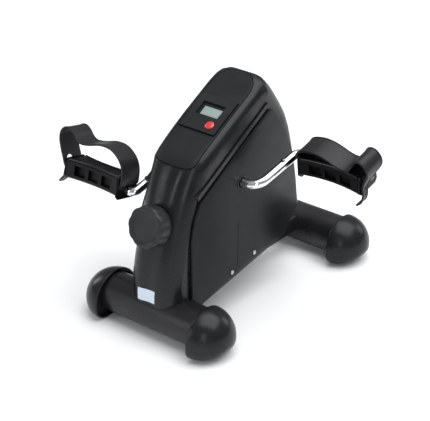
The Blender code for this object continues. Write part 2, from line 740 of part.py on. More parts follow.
def strap_route(side):
    """Middle line of the strap as (|x|, z) in the pedal, from its inner end over the tread and down."""
    if side < 0:
        return [(94.6, 8), (94.0, 18), (95.0, 28), (98.5, 37), (106, 45.5), (120, 53), (138, 53.5),
                (158, 48), (173, 46), (181, 50.5), (187.5, 57), (195, 60.5), (202, 58), (205.4, 51),
                (205.4, 41), (202.6, 29), (199, 17), (197.2, 7), (199, -3), (203.5, -17)]
    return [(94.4, 7.5), (95.2, 13), (99.5, 18), (107, 21.5), (120, 24), (133, 23), (146, 19),
            (158, 14), (169, 11.8), (176, 14), (181.5, 22.5), (187, 31), (194, 33.5), (200.8, 30),
            (205.4, 22), (204.9, 12), (200.2, 3), (197.2, -7), (196.6, -20), (193, -31), (185, -39)]


def pedal_strap(name, side):
    path = smooth_path([pedal_at(side, x, 0, z) for x, z in strap_route(side)], 2)
    w, t = STRAP_HALF, STRAP_T / 2
    body = sweep(path, [(-w, -t), (w, -t), (w, t), (-w, t)])
    return finish(name, body, strap_rubber(), pedal_centre(side), sharp=50.0)


# -------------------------------------------------------------------------------------- resistance
def knob_point(along):
    """Point on the knob's axis; along is positive into the housing."""
    return Vector((0, KNOB_Y, KNOB_Z)) + KNOB_IN * along


def knob_pivot():
    return knob_point(0.0)


def tension_knob():
    """Lobed knob with a dished face and a skirt towards the column."""
    axis = -KNOB_IN
    side = ACROSS
    up = axis.cross(side)
    count = 60
    levels = [(3.0, 0.90, 0.0), (8, 0.985, 1.0), (24, 0.99, 1.0), (26.5, 0.95, 0.8),
              (KNOB_LEN + 1.0, 0.88, 0.4), (KNOB_LEN + 0.6, 0.78, 0.0), (KNOB_LEN - 1.8, 0.68, 0.0),
              (KNOB_LEN - 2.6, 0.4, 0.0)]
    rings = []
    for along, size, depth in levels:
        ring = []
        for k in range(count):
            turn = 2 * math.pi * k / count
            radius = KNOB_R * size - depth * 1.5 * (0.5 - 0.5 * math.cos(10 * turn)) ** 2
            ring.append(knob_point(0) + axis * along + (side * math.cos(turn) + up * math.sin(turn)) * radius)
        rings.append(ring)
    body = skin(rings)
    seat = rod(knob_point(2), knob_point(-14), SCREW_R + GAP, 20)
    return finish("tension_knob", cut(body, seat), black_plastic(), knob_pivot())


def knob_bush():
    """Plain bearing for the knob's screw where it goes through the column."""
    profile = [(-1.5, SCREW_R + GAP), (-1.5, 7.0), (7.0, 7.0), (7.0, SCREW_R + GAP)]
    return finish("knob_bush", lathe(profile, knob_point(0), KNOB_IN, 24), nylon())


def tension_screw():
    body = rod(knob_point(-13), knob_point(31), SCREW_R, 20)
    return finish("tension_screw", body, steel(), knob_pivot())


def tension_carriage():
    """Nut block on the screw with a fork that holds the pin inside the brake band's nose."""
    up = KNOB_IN.cross(ACROSS)
    hook = (Vector((0, HOOK_Y, HOOK_Z)) - knob_point(0)).dot(KNOB_IN)

    def slab(x0, x1, a, b, half):
        ring = [knob_point(t) + up * u for t, u in ((a, -half), (b, -half), (b, half), (a, half))]
        return skin([[p + ACROSS * x for p in ring] for x in (x0, x1)])

    block = slab(-11, 11, 14, 26, 7)
    arms = [slab(s * 8.5 if s > 0 else -11, 11 if s > 0 else -8.5, 24, hook + 8, 6) for s in (-1, 1)]
    pin_c = Vector((0, *band_nose_centre()))
    pin = rod(pin_c - ACROSS * 10, pin_c + ACROSS * 10, 2.4, 16)
    body = joined(block, *arms, pin)
    bore = rod(knob_point(5), knob_point(34), SCREW_R + GAP, 20)
    return finish("tension_carriage", cut(body, bore), nylon(), knob_pivot())


def band_nose_centre():
    """(y, z) of the middle of the round nose, where the carriage's pin sits."""
    nose = Vector((HOOK_Y, HOOK_Z))
    return nose + (Vector((AXLE_Y, AXLE_Z)) - nose).normalized() * NOSE_R


def brake_band():
    """Closed nylon band: round the drive wheel's groove and forward to the carriage's pin."""
    centre = Vector((AXLE_Y, AXLE_Z))
    nose_r, wheel_r = NOSE_R, WHEEL_R - 3 + GAP
    nose_c = band_nose_centre()

    def loop(extra):
        r0, r1 = wheel_r + extra, nose_r + extra
        line = nose_c - centre
        heading = math.atan2(line.y, line.x)
        spread = math.acos((r0 - r1) / line.length)
        points = []
        for k in range(37):
            t = heading + spread + (2 * math.pi - 2 * spread) * k / 36
            points.append((centre.x + r0 * math.cos(t), centre.y + r0 * math.sin(t)))
        for k in range(9):
            t = heading - spread + 2 * spread * k / 8
            points.append((nose_c.x + r1 * math.cos(t), nose_c.y + r1 * math.sin(t)))
        return points

    def band(extra, half):
        return prism(loop(extra), Vector((-half, 0, 0)), Vector((0, 1, 0)), Vector((0, 0, 1)), 0, 2 * half)

    body = cut(band(BAND_T, BAND_HALF), band(0.0, BAND_HALF + 3))
    return finish("brake_band", body, nylon())


def carriage_guide():
    """Steel channel behind the column's wall that keeps the carriage from turning."""
    wide, thin, low, high = 13.5, 2.0, -9.0, 9.6
    outline = [(-wide, low), (thin - wide, low), (thin - wide, high - thin), (wide - thin, high - thin),
               (wide - thin, low), (wide, low), (wide, high), (-wide, high)]
    up = KNOB_IN.cross(ACROSS)
    rings = [[knob_point(t) + ACROSS * x + up * u for x, u in outline] for t in (5.0, 54.0)]
    return finish("carriage_guide", skin(rings), steel())


# -------------------------------------------------------------------------------------------- build
def build():
    clear_scene()
    for name, y in (("front", 0.0), ("rear", WHEELBASE)):
        floor_tube(name + "_floor_tube", y)
        end_cap(name + "_left_cap", -1, y)
        end_cap(name + "_right_cap", 1, y)
    frame_spine()
    axle_bracket()
    housing_shell()
    console_insert()
    computer_bezel()
    lcd_display()
    computer_board()
    reset_button()
    info_label()
    reed_sensor()
    sensor_cable()
    crank_axle()
    drive_wheel()
    wheel_magnet()
    tension_knob()
    knob_bush()
    tension_screw()
    tension_carriage()
    carriage_guide()
    brake_band()
    for side, word in ((-1, "left_"), (1, "right_")):
        axle_bush(word + "axle_bush", side)
        side_cover(word + "side_cover", side)
        cover_bead(word + "cover_bead", side)
        hole_ring(word + "hole_ring", side)
        for number, (y, z) in enumerate(screw_places(), start=1):
            cover_screw(word + "cover_screw_" + str(number), side, y, z)
        crank_arm(word + "crank_arm", side)
        crank_pin(word + "crank_pin", side)
        pedal_spindle(word + "pedal_spindle", side)
        pedal_body(word + "pedal_body", side)
        pedal_plate(word + "pedal_inner_plate", side, PEDAL_IN, 5.0, 3.0)
        pedal_plate(word + "pedal_outer_plate", side, PEDAL_OUT - 2.6, 1.5, 1.5)
        pedal_strap(word + "pedal_strap", side)


build()
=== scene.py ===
"""Looks of the pedal exerciser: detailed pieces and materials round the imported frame."""

import json
import math

import bmesh
import bpy
from mathutils import Matrix, Vector

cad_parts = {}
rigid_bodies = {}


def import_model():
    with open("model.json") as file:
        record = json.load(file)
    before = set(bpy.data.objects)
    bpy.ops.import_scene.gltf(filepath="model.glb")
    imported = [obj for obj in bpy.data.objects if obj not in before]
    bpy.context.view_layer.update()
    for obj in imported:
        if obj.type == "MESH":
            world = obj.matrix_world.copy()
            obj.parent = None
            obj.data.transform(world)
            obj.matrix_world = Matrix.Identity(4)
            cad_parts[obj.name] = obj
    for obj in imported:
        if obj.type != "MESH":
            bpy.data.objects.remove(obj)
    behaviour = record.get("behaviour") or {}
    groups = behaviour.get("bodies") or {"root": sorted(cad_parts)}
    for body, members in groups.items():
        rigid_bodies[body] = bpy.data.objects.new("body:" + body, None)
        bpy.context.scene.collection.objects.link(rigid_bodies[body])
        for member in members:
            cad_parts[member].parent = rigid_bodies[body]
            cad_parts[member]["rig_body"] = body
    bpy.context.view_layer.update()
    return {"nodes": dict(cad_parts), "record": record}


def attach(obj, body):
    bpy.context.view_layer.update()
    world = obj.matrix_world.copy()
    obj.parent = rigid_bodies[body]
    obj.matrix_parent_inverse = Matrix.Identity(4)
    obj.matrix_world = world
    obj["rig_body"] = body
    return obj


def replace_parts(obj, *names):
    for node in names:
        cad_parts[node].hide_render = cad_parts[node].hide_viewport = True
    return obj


# Lengths are millimetres in the row frame: X across, Y towards the rear tube, Z up.
MM = 0.001
ACROSS = Vector((1, 0, 0))

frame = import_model()
NODES = frame["nodes"]
SLOTS = {row["node"]: row["material_slot"] for row in frame["record"]["subparts"]}


# ------------------------------------------------------------------------------------ camera and light
CAMERA_TARGET = Vector((-0.0416, 0.0118, 0.0971))
CAMERA_DISTANCE = 2.047
CAMERA_AZIMUTH = math.radians(37.96)
CAMERA_ELEVATION = math.radians(28.34)
CAMERA_ROLL = math.radians(0.42)
CAMERA_LENS = 120.9
FLOOR_HALF = 6.0                    # metres, as are the lights' places and sizes
FLOOR_DROP = 0.0002                 # keeps the floor just clear of the caps


def add_camera():
    """The photograph's camera, with no shift and no depth of field."""
    data = bpy.data.cameras.new("camera")
    data.lens = CAMERA_LENS
    data.sensor_width = 36.0
    data.clip_end = 50.0
    back = Vector((math.sin(CAMERA_AZIMUTH) * math.cos(CAMERA_ELEVATION),
                   -math.cos(CAMERA_AZIMUTH) * math.cos(CAMERA_ELEVATION), math.sin(CAMERA_ELEVATION)))
    camera = bpy.data.objects.new("camera", data)
    turn = back.to_track_quat("Z", "Y").to_matrix() @ Matrix.Rotation(CAMERA_ROLL, 3, "Z")
    camera.matrix_world = Matrix.Translation(CAMERA_TARGET + back * CAMERA_DISTANCE) @ turn.to_4x4()
    bpy.context.scene.collection.objects.link(camera)
    bpy.context.scene.camera = camera


def area_light(name, place, target, size, power, colour=(1.0, 1.0, 1.0)):
    """Rectangular studio light at place, facing target."""
    data = bpy.data.lights.new(name, "AREA")
    data.shape = "RECTANGLE"
    data.size, data.size_y = size
    data.energy = power
    data.color = colour
    light = bpy.data.objects.new(name, data)
    away = Vector(place) - Vector(target)
    light.matrix_world = Matrix.Translation(place) @ away.to_track_quat("Z", "Y").to_matrix().to_4x4()
    bpy.context.scene.collection.objects.link(light)
    return light


def add_lights():
    """Soft studio light: one wide light overhead and four strips round the object."""
    centre = (0.0, 0.0, 0.12)
    area_light("overhead", (0.5, 0.25, 2.2), centre, (2.4, 2.4), 62.0)
    area_light("left_strip", (-0.85, -1.9, 0.62), centre, (0.26, 1.0), 5.2)
    area_light("far_left_strip", (-2.0, -0.2, 0.8), centre, (0.4, 1.0), 6.0)
    area_light("front_strip", (1.2, -1.9, 0.85), centre, (0.3, 1.1), 5.0)
    area_light("rear_strip", (0.9, 1.9, 0.9), centre, (0.7, 0.9), 5.0)
    view = bpy.context.scene.view_settings
    view.view_transform = "Standard"
    view.look = "None"


def add_sky():
    """Even studio sky, bright overhead and greyer towards the horizon."""
    world = bpy.data.worlds.new("studio")
    bpy.context.scene.world = world
    world.use_nodes = True
    nodes, links = world.node_tree.nodes, world.node_tree.links
    place = nodes.new("ShaderNodeTexCoord")
    split = nodes.new("ShaderNodeSeparateXYZ")
    ramp = nodes.new("ShaderNodeValToRGB")
    links.new(place.outputs["Generated"], split.inputs["Vector"])
    links.new(split.outputs["Z"], ramp.inputs["Fac"])
    links.new(ramp.outputs["Color"], nodes["Background"].inputs["Color"])
    low, high = ramp.color_ramp.elements
    low.position, low.color = 0.02, (0.36, 0.37, 0.39, 1.0)
    high.position, high.color = 0.55, (0.95, 0.975, 1.0, 1.0)
    nodes["Background"].inputs["Strength"].default_value = 0.46


def add_floor():
    """Pale matte floor under the object."""
    bm = bmesh.new()
    bmesh.ops.create_grid(bm, x_segments=1, y_segments=1, size=FLOOR_HALF)
    mesh = bpy.data.meshes.new("floor")
    bm.to_mesh(mesh)
    bm.free()
    floor = bpy.data.objects.new("floor", mesh)
    floor.location.z = -FLOOR_DROP
    mat = bpy.data.materials.new("pale_floor")
    mat.use_nodes = True
    shader = mat.node_tree.nodes["Principled BSDF"]
    shader.inputs["Base Color"].default_value = (0.93, 0.935, 0.94, 1.0)
    shader.inputs["Roughness"].default_value = 0.9
    shader.inputs["Specular IOR Level"].default_value = 0.1
    floor.data.materials.append(mat)
    bpy.context.scene.collection.objects.link(floor)


# ------------------------------------------------------------------------------------------ materials
class Surface:
    """A procedural material whose texture stays with the object it is on."""

    def __init__(self, name, colour, rough, metal=0.0, specular=0.5):
        self.mat = bpy.data.materials.new(name)
        self.mat.use_nodes = True
        self.nodes, self.links = self.mat.node_tree.nodes, self.mat.node_tree.links
        self.shader = self.nodes["Principled BSDF"]
        self.shader.inputs["Metallic"].default_value = metal
        self.shader.inputs["Specular IOR Level"].default_value = specular
        self.colour, self.rough = colour, rough
        self.place = self.nodes.new("ShaderNodeTexCoord").outputs["Object"]
        self.normal = None
        self.tint = None

    def stretched(self, scale):
        """Texture position with its axes scaled unevenly, for brushed metal."""
        mapping = self.nodes.new("ShaderNodeMapping")
        mapping.inputs["Scale"].default_value = scale
        self.links.new(self.place, mapping.inputs["Vector"])
        return mapping.outputs["Vector"]

    def noise(self, scale, detail=3.0, place=None):
        """Noise with features of 1/scale metres."""
        node = self.nodes.new("ShaderNodeTexNoise")
        node.inputs["Scale"].default_value = scale
        node.inputs["Detail"].default_value = detail
        self.links.new(place or self.place, node.inputs["Vector"])
        return node.outputs["Fac"]

    def span(self, value, low, high, start=0.3, end=0.7):
        """Remap value from start..end to low..high."""
        node = self.nodes.new("ShaderNodeMapRange")
        for name, number in (("From Min", start), ("From Max", end), ("To Min", low), ("To Max", high)):
            node.inputs[name].default_value = number
        self.links.new(value, node.inputs["Value"])
        return node.outputs["Result"]

    def bump(self, height, distance, strength=1.0):
        """Add one layer of relief, distance metres high."""
        node = self.nodes.new("ShaderNodeBump")
        node.inputs["Distance"].default_value = distance
        node.inputs["Strength"].default_value = strength
        self.links.new(height, node.inputs["Height"])
        if self.normal is not None:
            self.links.new(self.normal, node.inputs["Normal"])
        self.normal = node.outputs["Normal"]

    def blend(self, factor, other):
        """Mix another colour over the base one by factor."""
        node = self.nodes.new("ShaderNodeMix")
        node.data_type = "RGBA"
        low, high = (s for s in node.inputs if s.type == "RGBA")
        out = next(s for s in node.outputs if s.type == "RGBA")
        if self.tint is None:
            low.default_value = (*self.colour, 1.0)
        else:
            self.links.new(self.tint, low)
        high.default_value = (*other, 1.0)
        self.links.new(factor, node.inputs["Factor"])
        self.tint = out

    def vary_rough(self, value, spread):
        """Let value move the roughness by spread either way."""
        varied = self.span(value, self.rough - spread, self.rough + spread)
        self.links.new(varied, self.shader.inputs["Roughness"])

    def done(self):
        """Connect the colour and relief built so far, and give the material."""
        if self.tint is None:
            self.shader.inputs["Base Color"].default_value = (*self.colour, 1.0)
        else:
            self.links.new(self.tint, self.shader.inputs["Base Color"])
        if self.normal is not None:
            self.links.new(self.normal, self.shader.inputs["Normal"])
        return self.mat


def moulded(name, colour, rough, grain=0.00004, dust_and_sheen=0.012, coarse=1400.0, specular=0.3):
    """Satin moulded plastic: fine spark-eroded grain, faint flow marks, lighter patches at random that are
    partly handling marks and partly painted sheen.
    """
    s = Surface(name, colour, rough, specular=specular)
    s.vary_rough(s.noise(34.0, 4.0), 0.06)
    # Lighter grey patches at random: partly dust, partly painted sheen.
    s.blend(s.span(s.noise(16.0, 5.0), 0.0, dust_and_sheen, 0.42, 0.75), (0.42, 0.44, 0.47))
    s.bump(s.noise(coarse, 2.0), grain)
    s.bump(s.noise(28.0, 2.0), 0.0005, 0.10)
    return s.done()


def make_materials():
    """Every material of the object by name; a CAD slot has the material of its own name."""
    mats = {
        "black_plastic": moulded("black_plastic", (0.009, 0.0095, 0.0105), 0.40),
        "column_plastic": moulded("column_plastic", (0.007, 0.0075, 0.0085), 0.30,
                          grain=0.00002, specular=0.27),
        "cover_plastic": moulded("cover_plastic", (0.0065, 0.007, 0.008), 0.34,
                          grain=0.00005, specular=0.14),
        "insert_plastic": moulded("insert_plastic", (0.010, 0.011, 0.012), 0.50,
                          grain=0.00006, specular=0.18),
        "bezel_plastic": moulded("bezel_plastic", (0.009, 0.0095, 0.010), 0.42,
                          grain=0.00003, specular=0.24),
        "cap_plastic": moulded("cap_plastic", (0.0085, 0.009, 0.010), 0.30,
                          grain=0.00003, dust_and_sheen=0.018, specular=0.27),
        "knob_plastic": moulded("knob_plastic", (0.016, 0.0175, 0.018), 0.42, grain=0.00004),
        "pedal_plastic": moulded("pedal_plastic", (0.003, 0.003, 0.0034), 0.36,
                          grain=0.00006, dust_and_sheen=0.004, specular=0.18),
        "strap_rubber": moulded("strap_rubber", (0.010, 0.010, 0.0115), 0.42,
                          grain=0.00009, coarse=900.0),
        "stud_plastic": moulded("stud_plastic", (0.09, 0.095, 0.1), 0.35),
        # Lighter and glossier than the pedal plastic; the lighter colour is a painted highlight on the tread
        # ridges.
        "ridge_highlight_plastic": moulded("ridge_highlight_plastic", (0.022, 0.022, 0.024), 0.26, specular=0.5),
        "seam_plastic": moulded("seam_plastic", (0.002, 0.002, 0.002), 0.7, specular=0.1),
        "nylon": moulded("nylon", (0.66, 0.65, 0.61), 0.5, dust_and_sheen=0.1),
    }

    paint = Surface("black_paint", (0.010, 0.010, 0.0115), 0.32, specular=0.32)
    paint.vary_rough(paint.noise(40.0, 4.0), 0.06)
    paint.bump(paint.noise(650.0, 2.0), 0.00012, 0.35)
    paint.blend(paint.span(paint.noise(22.0, 6.0), 0.0, 0.025, 0.5, 0.8), (0.4, 0.42, 0.45))
    mats["black_paint"] = paint.done()

    chrome = Surface("chrome", (0.80, 0.81, 0.84), 0.09, metal=1.0)
    chrome.vary_rough(chrome.noise(60.0, 5.0), 0.04)
    chrome.blend(chrome.span(chrome.noise(30.0, 6.0), 0.0, 0.35, 0.55, 0.8), (0.5, 0.5, 0.52))
    chrome.bump(chrome.noise(120.0, 2.0), 0.00006, 0.12)
    mats["chrome"] = chrome.done()

    steel = Surface("steel", (0.52, 0.53, 0.55), 0.30, metal=1.0)
    steel.vary_rough(steel.noise(90.0, 5.0), 0.09)
    steel.bump(steel.noise(220.0, 3.0, steel.stretched((1.0, 9.0, 9.0))), 0.00004, 0.5)
    steel.blend(steel.span(steel.noise(45.0, 5.0), 0.0, 0.4, 0.5, 0.8), (0.3, 0.28, 0.25))
    mats["steel"] = steel.done()

    pin = Surface("pin_metal", (0.22, 0.17, 0.24), 0.28, metal=1.0)
    pin.vary_rough(pin.noise(200.0, 3.0), 0.08)
    mats["pin_metal"] = pin.done()

    iron = Surface("cast_iron", (0.20, 0.20, 0.21), 0.55, metal=1.0)
    iron.vary_rough(iron.noise(70.0, 5.0), 0.12)
    iron.bump(iron.noise(300.0, 4.0), 0.0003, 0.6)
    mats["cast_iron"] = iron.done()

    glass = Surface("lcd_glass", (0.27, 0.345, 0.33), 0.12, specular=0.3)
    glass.blend(glass.span(glass.noise(70.0, 2.0), 0.0, 0.3), (0.21, 0.27, 0.26))
    glass.vary_rough(glass.noise(120.0, 3.0), 0.05)
    glass.shader.inputs["Coat Weight"].default_value = 0.3
    mats["lcd_glass"] = glass.done()

    board = Surface("board_green", (0.02, 0.15, 0.06), 0.35)
    board.blend(board.span(board.noise(300.0, 1.0), 0.0, 0.6, 0.55, 0.62), (0.35, 0.3, 0.12))
    board.vary_rough(board.noise(150.0, 3.0), 0.08)
    mats["board_green"] = board.done()

    red = Surface("button_red", (0.55, 0.012, 0.022), 0.22)
    red.vary_rough(red.noise(180.0, 3.0), 0.05)
    red.blend(red.span(red.noise(90.0, 4.0), 0.0, 0.12), (0.75, 0.2, 0.2))
    red.bump(red.noise(900.0, 2.0), 0.00002, 0.5)
    red.shader.inputs["Coat Weight"].default_value = 0.5
    mats["button_red"] = red.done()

    label = Surface("label_white", (0.68, 0.76, 0.88), 0.40, specular=0.3)
    label.blend(label.span(label.noise(260.0, 4.0), 0.0, 0.12), (0.5, 0.55, 0.62))
    label.vary_rough(label.noise(160.0, 3.0), 0.07)
    label.bump(label.noise(700.0, 3.0), 0.00003, 0.5)
    mats["label_white"] = label.done()
    return mats


add_camera()
add_lights()
add_sky()
add_floor()
MATERIALS = make_materials()


# -------------------------------------------------------------------------------------- mesh and pieces
def new_object(name, bm, mat, sharp=35.0, bevel=0.0, segments=2):
    """Smooth object with sharp edges above an angle and, if bevel (mm) isn't zero, those eased."""
    mesh = bpy.data.meshes.new(name)
    bm.to_mesh(mesh)
    bm.free()
    normals = mesh.attributes.get("custom_normal")
    if normals is not None:
        mesh.attributes.remove(normals)
    mesh.materials.clear()
    mesh.materials.append(MATERIALS[mat])
    mesh.shade_smooth()
    mesh.set_sharp_from_angle(angle=math.radians(sharp))
    obj = bpy.data.objects.new(name, mesh)
    bpy.context.scene.collection.objects.link(obj)
    if bevel:
        edge = obj.modifiers.new("eased_edges", "BEVEL")
        edge.width = bevel * MM
        edge.segments = segments
        edge.limit_method = "ANGLE"
        edge.angle_limit = math.radians(sharp)
        edge.harden_normals = True
    return obj


def extra_piece(name, bm, mat, node, sharp=35.0, bevel=0.0, segments=2):
    """Show a bmesh (metres, row frame) as a detail that goes with a CAD node."""
    obj = new_object(name, bm, mat, sharp, bevel, segments)
    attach(obj, NODES[node]["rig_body"])
    return obj


def add_piece(name, bm, mat, node, sharp=35.0, bevel=0.0, segments=2):
    """Show a bmesh (metres, row frame) in place of a CAD node."""
    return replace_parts(extra_piece(name, bm, mat, node, sharp, bevel, segments), node)


def in_metres(bm):
    """A bmesh in millimetres with its faces pointing out, scaled to metres."""
    bmesh.ops.recalc_face_normals(bm, faces=bm.faces)
    bm.transform(Matrix.Scale(MM, 4))
    return bm


def refined(node, mat, bevel=0.4, sharp=35.0, segments=2):
    """The CAD node with facets welded, curves smooth and, if bevel isn't zero, its hard edges eased."""
    bm = bmesh.new()
    bm.from_mesh(NODES[node].data)
    bmesh.ops.remove_doubles(bm, verts=bm.verts, dist=0.002 * MM)
    if bevel:
        bmesh.ops.dissolve_limit(bm, angle_limit=math.radians(0.3), verts=bm.verts, edges=bm.edges)
    obj = add_piece(node + "_finish", bm, mat, node, sharp, bevel, segments)
    if not bevel:
        weigh = obj.modifiers.new("even_flats", "WEIGHTED_NORMAL")
        weigh.keep_sharp = True
    return obj


def skin(rings):
    """Closed body through rings of equal length, with a flat face on both ends."""
    bm = bmesh.new()
    rows = [[bm.verts.new(p) for p in ring] for ring in rings]
    count = len(rows[0])
    for a, b in zip(rows, rows[1:]):
        for i in range(count):
            j = (i + 1) % count
            bm.faces.new((a[i], a[j], b[j], b[i]))
    bm.faces.new(list(reversed(rows[0])))
    bm.faces.new(rows[-1])
    return bm


def full_turn(count):
    """Angles of a whole turn in count equal steps."""
    return [2 * math.pi * k / count for k in range(count)]


def heading(path, i):
    """Direction of travel at one point of a path."""
    return (path[min(i + 1, len(path) - 1)] - path[max(i - 1, 0)]).normalized()


def lathe(profile, centre, axis, segments=96):
    """Turn (along, radius) pairs round the axis, closed with a flat face on both ends."""
    axis = axis.normalized()
    side = axis.orthogonal().normalized()
    up = axis.cross(side)
    spokes = [side * math.cos(t) + up * math.sin(t) for t in full_turn(segments)]
    return skin([[Vector(centre) + axis * along + spoke * radius for spoke in spokes]
                 for along, radius in profile])


def cut_out(bm, tools):
    """Boolean difference; the inputs are used up."""
    objects = []
    for source in (bm, *tools):
        bmesh.ops.recalc_face_normals(source, faces=source.faces)
        mesh = bpy.data.meshes.new("work")
        source.to_mesh(mesh)
        source.free()
        obj = bpy.data.objects.new("work", mesh)
        bpy.context.scene.collection.objects.link(obj)
        objects.append(obj)
    for tool in objects[1:]:
        mod = objects[0].modifiers.new("cut", "BOOLEAN")
        mod.operation = "DIFFERENCE"
        mod.solver = "EXACT"
        mod.object = tool
    graph = bpy.context.evaluated_depsgraph_get()
    result = bmesh.new()
    result.from_mesh(bpy.data.meshes.new_from_object(objects[0].evaluated_get(graph)))
    for obj in objects:
        bpy.data.objects.remove(obj, do_unlink=True)
    return result


def smooth_path(points, per_span):
    """Catmull-Rom curve through points."""
    points = [Vector(p) for p in points]
    ends = [2 * points[0] - points[1], *points, 2 * points[-1] - points[-2]]
    path = []
    for p0, p1, p2, p3 in zip(ends, ends[1:], ends[2:], ends[3:]):
        for k in range(per_span):
            t = k / per_span
            b = 2 * p0 - 5 * p1 + 4 * p2 - p3
            c = 3 * p1 - p0 - 3 * p2 + p3
            path.append((2 * p1 + (p2 - p0) * t + b * t ** 2 + c * t ** 3) / 2)
    path.append(points[-1])
    return path


def filleted(points, radii, steps):
    """A path through points with each inner corner rounded to the matching radius."""
    path = [points[0]]
    for i, radius in enumerate(radii, start=1):
        before = (points[i - 1] - points[i]).normalized()
        after = (points[i + 1] - points[i]).normalized()
        half = before.angle(after) / 2
        reach = radius / math.tan(half)
        centre = points[i] + (before + after).normalized() * (radius / math.sin(half))
        a = points[i] + before * reach - centre
        b = points[i] + after * reach - centre
        whole = a.angle(b)
        for k in range(steps + 1):
            w0, w1 = math.sin((1 - k / steps) * whole), math.sin(k / steps * whole)
            path.append(centre + (a * w0 + b * w1) / math.sin(whole))
    path.append(points[-1])
    return path


# ------------------------------------------------------------------------------------------------ base
TUBE_Y = 160.5
TUBE_Z, TUBE_R = 32.8, 28.5
CAP_X, CAP_LEN, CAP_HALF = 77.0, 42.0, 41.5
CAP_MID, CAP_TOP = 25.0, 65.5
CAP_WALL, CAP_MOUTH = 3.0, 6.0
CAP_SQUARE = 0.7                    # below 1 the lower half of a cap's section is squarer than an ellipse


def floor_tube(name, y):
    """Round tube between two caps, with small chamfers at its ends."""
    profile = [(-88, 24), (-88, TUBE_R - 1), (-87, TUBE_R), (87, TUBE_R), (88, TUBE_R - 1), (88, 24)]
    add_piece(name + "_skin", in_metres(lathe(profile, (0, y, TUBE_Z), ACROSS)), "black_paint", name)


def cap_ring(side, y, x, inset, shrink, count=96):
    """Section of the dome at x out from its rim, moved in by inset."""
    half, top, low = CAP_HALF - inset, CAP_TOP - CAP_MID - inset, CAP_MID + 1.5 - inset
    ring = []
    for i in range(count):
        c, s = math.cos(2 * math.pi * i / count), math.sin(2 * math.pi * i / count)
        across = half * (c if s >= 0 else math.copysign(abs(c) ** CAP_SQUARE, c))
        height = top * s if s >= 0 else -low * abs(s) ** CAP_SQUARE
        ring.append(Vector((side * (CAP_X + x), y + across * shrink, max(inset, CAP_MID + height * shrink))))
    return ring


def end_cap(name, side, y):
    """Hood-shaped foot with a rolled rim, a step behind it and a hollow mouth round the tube."""
    rings = [cap_ring(side, y, CAP_MOUTH, CAP_WALL, 1.0), cap_ring(side, y, 1.2, CAP_WALL, 1.0),
             cap_ring(side, y, 0.3, CAP_WALL - 0.6, 1.0), cap_ring(side, y, 0.0, 1.6, 1.0),
             cap_ring(side, y, 0.2, 0.7, 1.0), cap_ring(side, y, 0.8, 0.1, 1.0)]
    for k in range(1, 34):
        angle = math.radians(88.5) * (k / 33)
        rings.append(cap_ring(side, y, max(0.9, CAP_LEN * math.sin(angle)), 0.0, math.cos(angle)))
    add_piece(name + "_skin", in_metres(skin(rings)), "cap_plastic", name, sharp=50.0)


# -------------------------------------------------------------------------------------------- crankset
AXLE = Vector((0.0, -40.9, 190.9))
CRANK_R, CRANK_ANGLE = 77.0, math.radians(21.5)
ROD_R, ROD_START, ROD_KNEE, ROD_ELBOW, ROD_END = 6.4, 40.35, 69.0, 83.0, 92.5
KNEE_ROUND, ELBOW_ROUND = 23.0, 9.0


def crank_turn(side):
    """Direction from the axle to a side's pedal, at rest."""
    return Vector((0, math.cos(CRANK_ANGLE), math.sin(CRANK_ANGLE))) * side


def crank_arm(name, side):
    """Chrome rod bent outward along the axle, up the crank, and outward again."""
    elbow = AXLE + ACROSS * side * ROD_ELBOW + crank_turn(side) * CRANK_R
    corners = [AXLE + ACROSS * side * ROD_START, AXLE + ACROSS * side * ROD_KNEE, elbow,
               elbow + ACROSS * side * (ROD_END - ROD_ELBOW)]
    path = filleted(corners, [KNEE_ROUND, ELBOW_ROUND], 24)
    across = ACROSS.cross(crank_turn(side)).normalized()
    rings = []
    for i, point in enumerate(path):
        ahead = heading(path, i)
        off = across.cross(ahead).normalized()
        rings.append([point + (across * math.cos(t) + off * math.sin(t)) * ROD_R for t in full_turn(48)])
    add_piece(name + "_chrome", in_metres(skin(rings)), "chrome", name, sharp=50.0)


# ---------------------------------------------------------------------------------------------- pedals
PEDAL_PITCH = math.radians(13.0)
PEDAL_OUT, PEDAL_OFFSET, PEDAL_HALF_HEIGHT = 194.5, 5.8, 13.2
PEDAL_WAIST, PEDAL_FLARE = 15.0, 5.0
STRAP_HALF, STRAP_T, STRAP_RIM = 18.3, 2.2, 0.7
LEFT_ROUTE = [(94.6, 8), (94.0, 18), (95.0, 28), (98.5, 37), (106, 45.5), (120, 53), (138, 53.5), (158, 48),
              (173, 46), (182, 50.5), (189, 57.5), (197, 61.5), (205.5, 59.5), (210.5, 52.5), (210.5, 42),
              (206, 29.5), (200, 17), (197.2, 7), (199.5, -3), (206, -12.5), (214.5, -22)]
RIGHT_ROUTE = [(94.4, 7.5), (95.2, 13), (99.5, 18), (107, 21.5), (120, 24), (133, 23), (146, 19), (158, 14),
               (169, 11.8), (176, 14), (181.5, 22.5), (187, 31), (194, 33.5), (200.8, 30), (205.4, 22),
               (204.9, 12), (200.2, 3), (197.2, -7), (196.6, -20), (193, -31), (185, -39)]
# Punched holes: share of the route, place across the band, half length and half width.
LEFT_HOLES = [(0.797, -5.5, 4.6, 6.0)]
RIGHT_HOLES = [(0.86 + 0.04 * k, -12.0, 1.6, 1.6) for k in range(4)]


def pedal_axes(side):
    """Forward and up directions of a pitched pedal."""
    c, s = math.cos(PEDAL_PITCH * side), math.sin(PEDAL_PITCH * side)
    return Vector((0, c, s)), Vector((0, -s, c))


def pedal_at(side, x, y, z):
    """A point on a side's pedal: x out along its spindle, y back, z up."""
    along, up = pedal_axes(side)
    return AXLE + crank_turn(side) * CRANK_R + ACROSS * side * x + along * y + up * z


